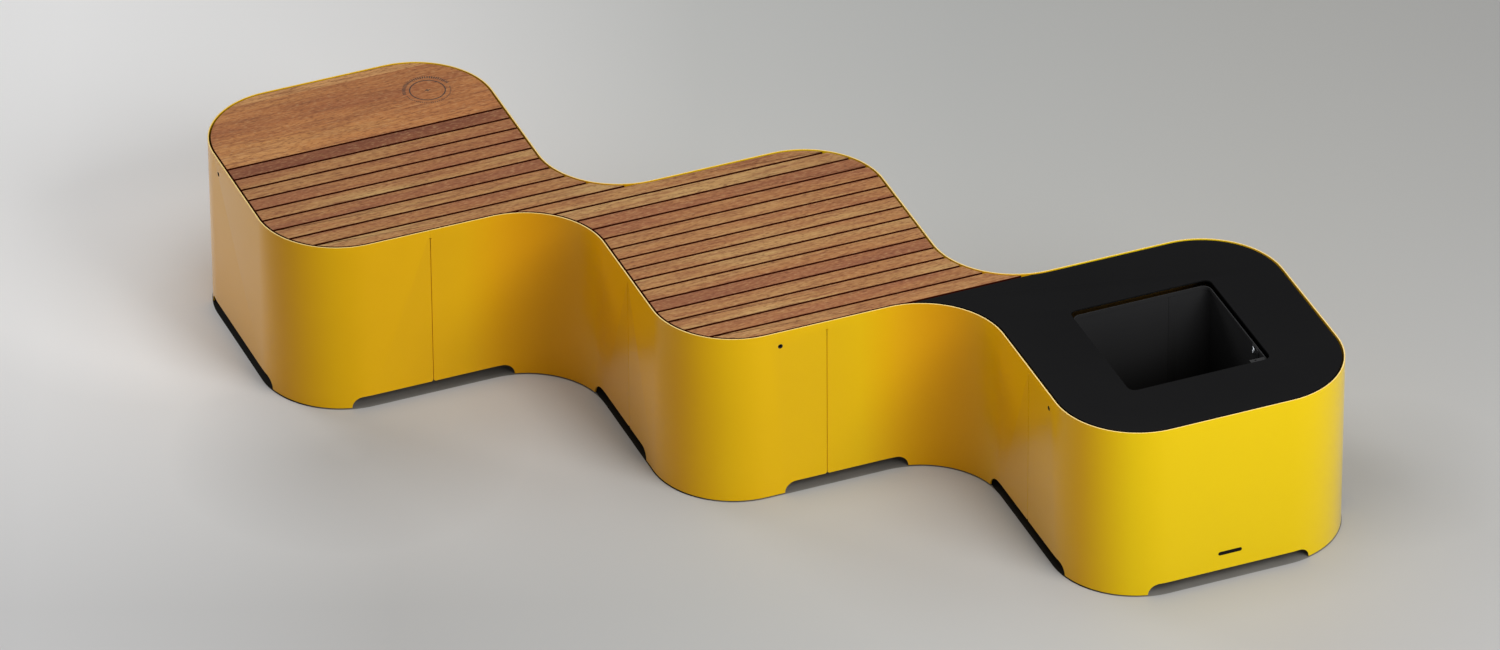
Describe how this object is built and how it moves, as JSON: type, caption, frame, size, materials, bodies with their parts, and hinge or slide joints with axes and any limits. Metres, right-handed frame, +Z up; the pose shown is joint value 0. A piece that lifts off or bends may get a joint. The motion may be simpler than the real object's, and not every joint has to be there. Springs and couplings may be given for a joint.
{
  "type": "modular bench",
  "caption": "Zigzag modular bench: square rounded modules joined corner to corner, slatted seats, one steel skin and a lidded liner at one end.",
  "frame": {"origin": "on the floor, under the middle of the middle module", "axes": "+X along the slats, +Y to the back, +Z up"},
  "size_m": [2.1, 2.1, 0.45],
  "materials": {
    "powder_coat_yellow": "satin powder coat, yellow",
    "powder_coat_black": "fine matt powder coat, black",
    "powder_coat_charcoal": "satin powder coat, charcoal",
    "oiled_hardwood": "planed and oiled reddish hardwood",
    "galvanised_steel": "hot-dip galvanised steel plate",
    "zinc_plated_steel": "zinc-plated steel",
    "black_oxide_steel": "black-oxide steel",
    "aluminium_bars": "mill-finish aluminium",
    "rubber": "black moulded rubber",
    "moulded_plastic": "dark moulded plastic"
  },
  "bodies": {
    "carcass": {"skin_a_end": "powder_coat_yellow", "skin_neck_ab_front": "powder_coat_yellow", "skin_neck_ab_back": "powder_coat_yellow", "skin_b_front": "powder_coat_yellow", "skin_b_back": "powder_coat_yellow", "skin_neck_bc_front": "powder_coat_yellow", "skin_neck_bc_back": "powder_coat_yellow", "skin_c_end": "powder_coat_yellow", "frame_a": "powder_coat_yellow", "frame_b": "powder_coat_yellow", "frame_c": "powder_coat_yellow", "skin_brackets": "powder_coat_yellow", "lock_keepers": "zinc_plated_steel", "coupling_plates": "galvanised_steel", "frame_bolts": "zinc_plated_steel", "skin_studs": "zinc_plated_steel", "foot_studs": "zinc_plated_steel", "foot_pads": "rubber", "rest_pads": "rubber", "name_plate": "powder_coat_black"},
    "deck_a": {"charging_panel": "oiled_hardwood", "slat_a_01": "oiled_hardwood", "slat_a_02": "oiled_hardwood", "slat_a_03": "oiled_hardwood", "slat_a_04": "oiled_hardwood", "slat_a_05": "oiled_hardwood", "slat_a_06": "oiled_hardwood", "slat_a_07": "oiled_hardwood", "slat_a_08": "oiled_hardwood", "slat_a_09": "oiled_hardwood", "deck_a_frame": "aluminium_bars", "deck_a_screws": "zinc_plated_steel", "charging_coil": "moulded_plastic", "charger_box": "moulded_plastic", "lock_a_barrel": "black_oxide_steel"},
    "deck_b": {"slat_b_01": "oiled_hardwood", "slat_b_02": "oiled_hardwood", "slat_b_03": "oiled_hardwood", "slat_b_04": "oiled_hardwood", "slat_b_05": "oiled_hardwood", "slat_b_06": "oiled_hardwood", "slat_b_07": "oiled_hardwood", "slat_b_08": "oiled_hardwood", "slat_b_09": "oiled_hardwood", "slat_b_10": "oiled_hardwood", "slat_b_11": "oiled_hardwood", "slat_b_12": "oiled_hardwood", "slat_b_13": "oiled_hardwood", "slat_b_14": "oiled_hardwood", "slat_b_15": "oiled_hardwood", "deck_b_frame": "aluminium_bars", "deck_b_screws": "zinc_plated_steel", "lock_b_barrel": "black_oxide_steel"},
    "lid": {"lid_plate": "powder_coat_black", "lid_frame": "powder_coat_black", "lock_c_barrel": "black_oxide_steel"},
    "liner": {"liner": "powder_coat_charcoal"},
    "cam_a": {"lock_a_cam": "black_oxide_steel"},
    "cam_b": {"lock_b_cam": "black_oxide_steel"},
    "cam_c": {"lock_c_cam": "black_oxide_steel"}
  },
  "joints": [
    {"name": "deck_a_lift", "type": "slide", "parent": "carcass", "child": "deck_a", "axis": [0, 0, 1], "range_m": [0, 0.12]},
    {"name": "deck_b_lift", "type": "slide", "parent": "carcass", "child": "deck_b", "axis": [0, 0, 1], "range_m": [0, 0.12]},
    {"name": "lid_lift", "type": "slide", "parent": "carcass", "child": "lid", "axis": [0, 0, 1], "range_m": [0, 0.12]},
    {"name": "liner_lift", "type": "slide", "parent": "carcass", "child": "liner", "axis": [0, 0, 1], "range_m": [0, 0.4]},
    {"name": "lock_a_turn", "type": "hinge", "parent": "deck_a", "child": "cam_a", "pos_m": [-1.005, 0.815, 0.412], "axis": [1, 0, 0], "range_deg": [0, 90]},
    {"name": "lock_b_turn", "type": "hinge", "parent": "deck_b", "child": "cam_b", "pos_m": [-0.115, -0.305, 0.412], "axis": [0, 1, 0], "range_deg": [0, 90]},
    {"name": "lock_c_turn", "type": "hinge", "parent": "lid", "child": "cam_c", "pos_m": [0.395, -0.815, 0.412], "axis": [1, 0, 0], "range_deg": [0, 90]}
  ]
}
